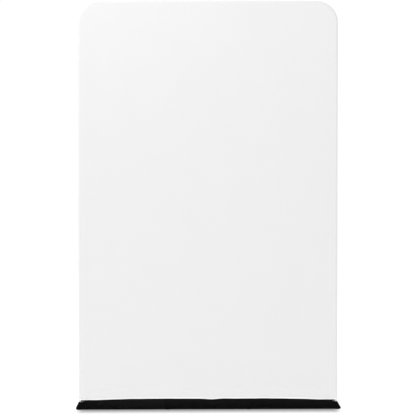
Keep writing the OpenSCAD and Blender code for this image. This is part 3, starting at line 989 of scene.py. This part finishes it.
def above_zip(x):
    """The back panel's lower edge: just above the zip, and down on its middle beyond its ends."""
    return ZIP_Z + ZIP_REVEAL * (1 - smooth((abs(x) - ZIP_HALF + ZIP_END_FADE) / ZIP_END_FADE))


def below_zip(x):
    return 2 * ZIP_Z - above_zip(x)


# The pucker's size, and where it begins and fades, are in millimetres from the zip's middle.
PUCKER = 0.55
PUCKER_FROM = 6.5
PUCKER_RISE = 5
PUCKER_FADE_FROM = 14
PUCKER_FADE = 14
PUCKER_RATE = 260
PUCKER_END = 6 * MM
PUCKER_END_FADE = 14 * MM
pucker_drift = [(1.3, 31, 0)]


def pucker(bm):
    """Lifts the cloth in small waves beside the zip, where its stitching has drawn it up."""
    for v in bm.verts:
        gap = abs(v.co.z - ZIP_Z) / MM
        wave = math.sin(v.co.x * PUCKER_RATE + waves(v.co.x, pucker_drift)) * 0.5 + 0.5
        fade = 1 - smooth((gap - PUCKER_FADE_FROM) / PUCKER_FADE)
        size = PUCKER * smooth((gap - PUCKER_FROM) / PUCKER_RISE) * fade
        ends = smooth((ZIP_HALF - PUCKER_END - abs(v.co.x)) / PUCKER_END_FADE)
        v.co.y += size * wave * ends * MM


def beside_zip(place):
    """Above 0 where the edge along the zip is turned in, over the tape. There the cloth gets a share of the
    same whiter colour that is partly a painted highlight.
    """
    gap = abs(place.z - ZIP_Z) - ZIP_REVEAL
    return ZIP_DOUBLED_HIGHLIGHT * (1 - smooth((gap - ZIP_DOUBLED_HIGHLIGHT_TO) / ZIP_DOUBLED_HIGHLIGHT_FADE))


BACK_FROM = ZIP_Z + ZIP_REVEAL
BACK_LEVEL_TO = ZIP_Z + 18 * MM
BACK_SEWN_TO = BACK_FROM + 10 * MM

back = panel_grid(1, columns, up_panel(BACK_FROM), above_zip, BACK_LEVEL_TO)
let_settle(back, 1, BACK_SEWN_TO)
pucker(back)
wrap_edges(back, 1)
back_panel, back_face = sewn_panel(back, "cover_back_panel", "cover_back", beside_zip)

FLAP_ROWS = 12
FLAP_TOP = ZIP_Z - ZIP_REVEAL
flap_rows = [HEM_MID_Z + (FLAP_TOP - HEM_MID_Z) * step / FLAP_ROWS for step in range(FLAP_ROWS + 1)]


def flap_grid():
    """The strip below the zip, from the hem line up to the zip's lower edge."""
    bm = panel_grid(1, columns, flap_rows, lambda x: flap_rows[0], ZIP_Z)
    cut = bm.verts.layers.float_vector["cut"]
    span = flap_rows[-1] - flap_rows[0]
    for v in bm.verts:
        share = (v.co.z - flap_rows[0]) / span
        low, high = hem_line(v.co.x), below_zip(v.co.x)
        z = low + (high - low) * share
        v.co = (v.co.x, WRAP_R, z)
        v[cut] = (v.co.x, z, 0)
    return bm


def hem_or_zip(place):
    return max(hem_doubled_highlight(place), beside_zip(place))


flap = flap_grid()
pucker(flap)
wrap_edges(flap, 1)
turn_under(flap, 1)
bottom_flap, flap_face = sewn_panel(flap, "cover_bottom_flap", "cover_flap", hem_or_zip)


# ---- Zip tapes ----
# Two strips of woven white polyester, sewn behind the cut between the back panel and the flap.
# They show as a narrow band between the turned-in edges of the cover.

TAPE_T = 0.8 * MM
TAPE_WHITE = (0.80, 0.80, 0.80, 1)
TAPE_SHADE = (0.62, 0.62, 0.63, 1)
TAPE_RIB = 0.9 * MM
TAPE_CHEVRON = 3.6 * MM
TAPE_RELIEF = 0.06 * MM
TAPE_STEPS = 180
TAPE_CLOSE_X = ZIP_HALF - 5 * MM
TAPE_CLOSE_OVER = 4 * MM
TAPE_CLOSED = 0.95

row_low, row_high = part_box("zip_half_upper")
TAPE_Y = row_low.y + TAPE_T / 2
TAPE_NEAR = row_low.z - ZIP_Z
TAPE_FAR = row_high.z - ZIP_Z


def woven_tape():
    """Herringbone weave: slanting ribs that turn back at each chevron."""
    woven = Finish("woven_zip_tape", Metallic=0.0, Specular_IOR_Level=0.25)
    along, across, _ = woven.along(woven.node("ShaderNodeUVMap", {"uv_map": "cut"}))
    turned = abs((across / TAPE_CHEVRON) % 1.0 - 0.5) * 4
    rib = abs((along / TAPE_RIB + turned) % 1.0 - 0.5) * 2
    fuzz = woven.grain(woven.where(), 0.8 * MM)
    return woven.varies(
        Base_Color=woven.mixed(rib * 0.8 + fuzz * 0.2, TAPE_SHADE, TAPE_WHITE),
        Roughness=0.80 + (fuzz - 0.5) * 0.1,
        Normal=woven.relief(rib, TAPE_RELIEF),
    )


def tape_strip(up):
    """A flat strip, above the zip's middle where up is 1 and below it where up is -1.
    The two strips close up past the ends of the coils."""
    bm = bmesh.new()
    bmesh.ops.create_grid(bm, x_segments=TAPE_STEPS, y_segments=4, size=1)
    cut = bm.verts.layers.float_vector.new("cut")
    for v in bm.verts:
        closed = TAPE_CLOSED * smooth((abs(v.co.x) * ZIP_HALF - TAPE_CLOSE_X) / TAPE_CLOSE_OVER)
        near = TAPE_NEAR * (1 - closed)
        off = near + (TAPE_FAR - near) * (v.co.y + 1) / 2
        v[cut] = (v.co.x * ZIP_HALF, off, 0)
        v.co = (v.co.x * ZIP_HALF, TAPE_Y, ZIP_Z + up * off)
    lay_out_cut(bm)
    return bm


tape_cloth = woven_tape()
for name, up in (("upper", 1), ("lower", -1)):
    tape = finished_piece("zip_tape_" + name, tape_strip(up), tape_cloth)
    solid_cloth(tape, TAPE_T)
    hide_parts("zip_half_" + name)


# ---- Zip coils ----
# One nylon thread is wound into a row of flattened loops along each tape, and sewn down to it.
# Every loop has a swollen head that faces the other row, half a loop out of step with it.

LOOPS_SPUN = 27
LOOP_DOUBLINGS = 5
THREAD_R = 0.3 * MM
THREAD_SIDES = 6
LOOP_R = 0.8 * MM
LOOP_STEPS = 8
LOOP_STRAIGHT = 0.45 * MM
LOOP_LEAN = 0.25
HEAD_SWELL = 1.5
HEAD_GAP = 0.55 * MM
COIL_END = ZIP_HALF - 5 * MM
COIL_MARGIN = 1 * MM
LOOP_PITCH = 2 * (COIL_END - COIL_MARGIN) / (LOOPS_SPUN * 2 ** LOOP_DOUBLINGS)
NYLON_WHITE = (0.80, 0.80, 0.79, 1)
NYLON_GREY = (0.68, 0.68, 0.68, 1)

coil_nylon = Finish("white_coil_nylon", Metallic=0.0, Specular_IOR_Level=0.5)
place = coil_nylon.where()
drawn_thread = coil_nylon.grain(place, 0.25 * MM)
coil_nylon.varies(
    Base_Color=coil_nylon.mixed(coil_nylon.grain(place, 7 * MM), NYLON_GREY, NYLON_WHITE),
    Roughness=0.34 + drawn_thread * 0.12,
    Normal=coil_nylon.relief(drawn_thread, 0.01 * MM),
)


def coil_loop():
    """One loop on its side: X along the zip, Y out from the tape, and its head towards -Z."""
    bm = bmesh.new()
    bmesh.ops.create_circle(bm, segments=THREAD_SIDES, radius=THREAD_R)
    bmesh.ops.translate(bm, vec=(0, LOOP_R, 0), verts=bm.verts)
    bmesh.ops.rotate(bm, matrix=Matrix.Rotation(math.pi / LOOP_STEPS, 3, "X"), verts=bm.verts)
    bmesh.ops.spin(bm, geom=bm.verts[:] + bm.edges[:], axis=(1, 0, 0), angle=math.tau, steps=LOOP_STEPS,
                   use_merge=True)
    bmesh.ops.remove_doubles(bm, verts=bm.verts, dist=0.001 * MM)
    for v in bm.verts:
        if v.co.z < -LOOP_R / 2:
            v.co.x *= HEAD_SWELL
        v.co.x += v.co.y * LOOP_LEAN
        if v.co.z > 0:
            v.co.z += LOOP_STRAIGHT
    return bm


def repeat_along(bm, pitch, times):
    """Copies all of a shape along X, a pitch further each time."""
    shape = bm.verts[:] + bm.edges[:] + bm.faces[:]
    bmesh.ops.spin(bm, geom=shape, axis=(1, 0, 0), dvec=(pitch, 0, 0), angle=0, steps=times,
                   use_duplicate=True)


for name, up in (("upper", 1), ("lower", -1)):
    coil = coil_loop()
    bmesh.ops.scale(coil, vec=(1, 1, up), verts=coil.verts)
    from_middle = HEAD_GAP + THREAD_R + LOOP_R
    start = -COIL_END + LOOP_PITCH * (1 if up < 0 else 0.5)
    seat = (start, row_high.y - THREAD_R - LOOP_R, ZIP_Z + up * from_middle)
    bmesh.ops.translate(coil, vec=seat, verts=coil.verts)
    bmesh.ops.recalc_face_normals(coil, faces=coil.faces)
    repeat_along(coil, LOOP_PITCH, LOOPS_SPUN - 1)
    for doubling in range(LOOP_DOUBLINGS):
        repeat_along(coil, LOOP_PITCH * LOOPS_SPUN * 2 ** doubling, 1)
    row = finished_piece("zip_coil_" + name, coil, coil_nylon.material, smooth_below=60)
    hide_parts("zip_half_" + name)


# ---- Zip slider, pull and stops ----
# Zinc die castings: the slider runs along both rows, the pull swings on a pin through its crown,
# and a stop is crimped over each row at each end.

DIE_CAST = (0.45, 0.455, 0.465, 1)
DIE_CAST_BRIGHT = (0.53, 0.535, 0.545, 1)
CAST_EASE = 0.22 * MM
CAST_RELIEF = 0.008 * MM

die_cast = plated("zinc_die_cast", DIE_CAST, DIE_CAST_BRIGHT, 2.5 * MM, 0.24, 0.40, pits=CAST_RELIEF)
give_finish(die_cast, "zip_stops")
for node in ("zip_slider", "zip_pull"):
    casting = merged_copy(node)
    ease_edges(casting, CAST_EASE, above=50)
    piece = finished_piece(node + "_casting", casting, die_cast, body=node + "_body")
    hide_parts(node)


# ---- Stitching ----
# White polyester thread: a row of lockstitch on each side of the zip, a bar tack across each of its ends,
# and a row round the cover's lower hem.

STITCH = 2.6 * MM
STITCH_PITCH = 3.2 * MM
STITCH_W = 0.42 * MM
STITCH_T = 0.30 * MM
ZIP_ROW = 9 * MM
HEM_ROW = 4.4 * MM
ZIP_ROW_HALF = ZIP_HALF + 4 * MM
TACK_X = ZIP_HALF + 3 * MM
TACK_HALF = 7 * MM
TACK_STEPS = 10
TACK_SLANT = 0.35
PLY = 0.5 * MM
CLEAR_OF_CLOTH = 0.1
THREAD_WHITE = (0.84, 0.84, 0.84, 1)
THREAD_SHADE = (0.72, 0.72, 0.72, 1)

thread = Finish("white_sewing_thread", Metallic=0.0, Specular_IOR_Level=0.35)
place = thread.where()
x, y, z = thread.along(place)
ply = abs(((x + z + y) / PLY) % 1.0 - 0.5) * 2
thread.varies(
    Base_Color=thread.mixed(ply * 0.7 + thread.grain(place, 3 * MM) * 0.3, THREAD_SHADE, THREAD_WHITE),
    Roughness=0.62 + ply * 0.1,
    Normal=thread.relief(ply, 0.03 * MM),
)


def one_stitch():
    """The mesh of one stitch about its own middle, along X, with Z up from the cloth."""
    bm = bmesh.new()
    bmesh.ops.create_icosphere(bm, subdivisions=1, radius=1)
    bmesh.ops.scale(bm, vec=(STITCH / 2, STITCH_W / 2, STITCH_T / 2), verts=bm.verts)
    mesh = bpy.data.meshes.new("one_stitch")
    bm.to_mesh(mesh)
    bm.free()
    return mesh


pattern_stitch = one_stitch()


def stitch(bm, place, out, run):
    """Adds a stitch lying on the cloth at a place, running along a direction."""
    run = (run - out * run.dot(out)).normalized()
    turned = Matrix((run, out.cross(run), out)).transposed().to_4x4()
    sewn = pattern_stitch.copy()
    sewn.transform(Matrix.Translation(place + out * KNIT_T / 2) @ turned)
    bm.from_mesh(sewn)
    bpy.data.meshes.remove(sewn)


def sew_row(bm, face, facing, half, height):
    """A straight row of stitches across a panel's face, at the height that a function of X gives."""
    out = Vector((0, facing, 0))
    count = int(2 * half / STITCH_PITCH)
    for step in range(count + 1):
        x = -half + 2 * half * step / count
        z = height(x)
        spot = face.ray_cast(Vector((x, facing * CLEAR_OF_CLOTH, z)), -out)[0]
        if spot:
            stitch(bm, spot, out, Vector((1, 0, (height(x + MM) - z) / MM)))


def sew_round_post(bm, side, z):
    """The hem's row carried round the outside of an upright."""
    count = int(math.pi * WRAP_R / STITCH_PITCH)
    for step in range(1, count):
        turn = math.pi * step / count
        out = Vector((side * math.sin(turn), -math.cos(turn), 0))
        stitch(bm, Vector((side * POST_X, 0, z)) + out * WRAP_R, out, Vector((-out.y, out.x, 0)))


def hem_row(x):
    return hem_line(x) + HEM_ROW


hem_stitches = bmesh.new()
sew_row(hem_stitches, front_face, -1, POST_X, hem_row)
sew_row(hem_stitches, flap_face, 1, POST_X, hem_row)
for side in (-1, 1):
    sew_round_post(hem_stitches, side, hem_row(POST_X))
hem_thread = finished_piece("cover_hem_stitches", hem_stitches, thread.material,
                            smooth_below=90)

zip_stitches = bmesh.new()
sew_row(zip_stitches, back_face, 1, ZIP_ROW_HALF, lambda x: ZIP_Z + ZIP_ROW)
sew_row(zip_stitches, flap_face, 1, ZIP_ROW_HALF, lambda x: ZIP_Z - ZIP_ROW)
for side in (-1, 1):
    for step in range(-TACK_STEPS, TACK_STEPS + 1):
        spot = Vector((side * TACK_X, WRAP_R, ZIP_Z + TACK_HALF * step / TACK_STEPS))
        slant = TACK_SLANT if step % 2 else -TACK_SLANT
        stitch(zip_stitches, spot, Vector((0, 1, 0)), Vector((1, 0, slant)))
zip_thread = finished_piece("zip_stitches", zip_stitches, thread.material,
                            smooth_below=90)


# ---- Studio ----
# A white floor that runs out of sight, with a soft dark film as the shade under the base, in a white room
# that is a little dimmer overhead and on the right. A soft light hangs above on the left, and a weak strip
# of light lies just in front of the hem.

FLOOR_HALF = 30.0
FLOOR_WHITE = (1.0, 1.0, 1.0, 1)
SHADE_DEPTH = 0.74
UNDER_DEPTH = 0.97
ROOM_LIGHT = 1.04
CEILING_LOSS = 0.365
CEILING_FROM = 0.35
RIGHT_LOSS = 0.077
RIGHT_FROM = 0.45
FLOOR_GLOW = 0.175
FLOOR_SPECK = 4 * MM
FILM_Z = 0.2 * MM
FILM_PAST_SIDE = 0.1
FILM_PAST_FRONT = 0.2
SHADE_BEGINS = -0.02
SHADE_ENDS = 0.12
SIDE_INSET = 45 * MM
SIDE_SHORTER = 1.9
UNDER_FROM = -12 * MM
UNDER_TO = -2 * MM


def stage_sheet(name, half_width, half_depth, z, material):
    """A flat level sheet that belongs to the studio."""
    bm = bmesh.new()
    bmesh.ops.create_grid(bm, x_segments=2, y_segments=2, size=1)
    bmesh.ops.scale(bm, vec=(half_width, half_depth, 1), verts=bm.verts)
    bmesh.ops.translate(bm, vec=(0, 0, z), verts=bm.verts)
    sheet = finished_piece(name, bm, material, body=None)
    return sheet


floor_finish = Finish("white_floor", Metallic=0.0, Specular_IOR_Level=0.0, Base_Color=FLOOR_WHITE,
                      Emission_Color=FLOOR_WHITE, Emission_Strength=FLOOR_GLOW)
speckle = floor_finish.grain(floor_finish.where(), FLOOR_SPECK)
stage_sheet("studio_floor", FLOOR_HALF, FLOOR_HALF, 0.0, floor_finish.varies(Roughness=0.85 + speckle * 0.1))

shade = Finish("contact_shade", Metallic=0.0, Specular_IOR_Level=0.0, Roughness=1.0, Base_Color=(0, 0, 0, 1))
x, y, _ = shade.along(shade.where())
past_side = (abs(x) - BASE_HALF_WIDTH + SIDE_INSET).most(0.0) * SIDE_SHORTER
past_front = (abs(y) - BASE_HALF_DEPTH).most(0.0)
away = (past_side * past_side + past_front * past_front).math("SQRT")
in_depth = (abs(y) - BASE_HALF_DEPTH).eased(UNDER_FROM, UNDER_TO, 1.0, 0.0)
in_width = (abs(x) - BASE_HALF_WIDTH).eased(UNDER_FROM, UNDER_TO, 1.0, 0.0)
around = away.eased(SHADE_BEGINS, SHADE_ENDS, SHADE_DEPTH, 0.0)
cover_share = around.most(in_depth * in_width * UNDER_DEPTH)
film = stage_sheet("floor_contact_shade", BASE_HALF_WIDTH + FILM_PAST_SIDE, BASE_HALF_DEPTH + FILM_PAST_FRONT,
                   FILM_Z, shade.varies(Alpha=cover_share))
film.visible_diffuse = False
film.visible_glossy = False
film.visible_shadow = False


class Room(Finish):
    """The white room round the wall, made of nodes as a finish is."""

    def __init__(self, name):
        self.material = bpy.data.worlds.new(name)
        self.material.use_nodes = True
        self.shader = self.material.node_tree.nodes["World Output"]

    def glow(self, strength):
        return self.node("ShaderNodeBackground", inlets={"Color": (1, 1, 1, 1), "Strength": strength})


room = Room("white_room")
right, _, up = room.along(room.node("ShaderNodeTexCoord", outlet="Generated"))
lost = up.eased(CEILING_FROM, 1.0, 0.0, CEILING_LOSS) + right.eased(RIGHT_FROM, 1.0, 0.0, RIGHT_LOSS)
lit_and_dark = {0: lost, 1: room.glow(ROOM_LIGHT), 2: room.glow(0.0)}
room.varies(Surface=room.node("ShaderNodeMixShader", inlets=lit_and_dark))
bpy.context.scene.world = room.material


HANGING_PLACE = (-1.7, -1.4, 4.9)
HANGING_AIM = (-0.4, -0.1, 1.3)
HANGING_SIZE = (1.8, 1.4)
HANGING_WATTS = 47
LOW_STRIP_PLACE = (0, -0.10, 0.030)
LOW_STRIP_AIM = (0, 0, 0.028)
LOW_STRIP_SIZE = (1.5, 0.02)
LOW_STRIP_WATTS = 0.042


def soft_light(name, place, aim, size, power):
    """A flat softbox, turned to face a point."""
    lamp = bpy.data.lights.new(name, "AREA")
    lamp.shape = "RECTANGLE"
    lamp.size, lamp.size_y = size
    lamp.energy = power
    holder = bpy.data.objects.new(name, lamp)
    holder.location = place
    holder.rotation_euler = (Vector(aim) - Vector(place)).to_track_quat("-Z", "Y").to_euler()
    holder.visible_camera = False
    bpy.context.scene.collection.objects.link(holder)
    return holder


soft_light("top_left", HANGING_PLACE, HANGING_AIM, HANGING_SIZE, HANGING_WATTS)
low_strip = soft_light("low_strip", LOW_STRIP_PLACE, LOW_STRIP_AIM, LOW_STRIP_SIZE, LOW_STRIP_WATTS)
low_strip.visible_glossy = False

CAMERA_PLACE = (-0.089, -5.4285, 1.410)
CAMERA_DOWN = 1.061
CAMERA_RIGHT = 0.707

lens = bpy.data.cameras.new("camera")
lens.lens = 81.23
lens.sensor_width = 36.0
lens.shift_x = 0.00873
lens.shift_y = -0.07306
lens.clip_end = 100.0
camera = bpy.data.objects.new("camera", lens)
camera.location = CAMERA_PLACE
camera.rotation_euler = (math.radians(90 - CAMERA_DOWN), 0, math.radians(-CAMERA_RIGHT))
bpy.context.scene.collection.objects.link(camera)
bpy.context.scene.camera = camera
bpy.context.scene.view_settings.view_transform = "Standard"
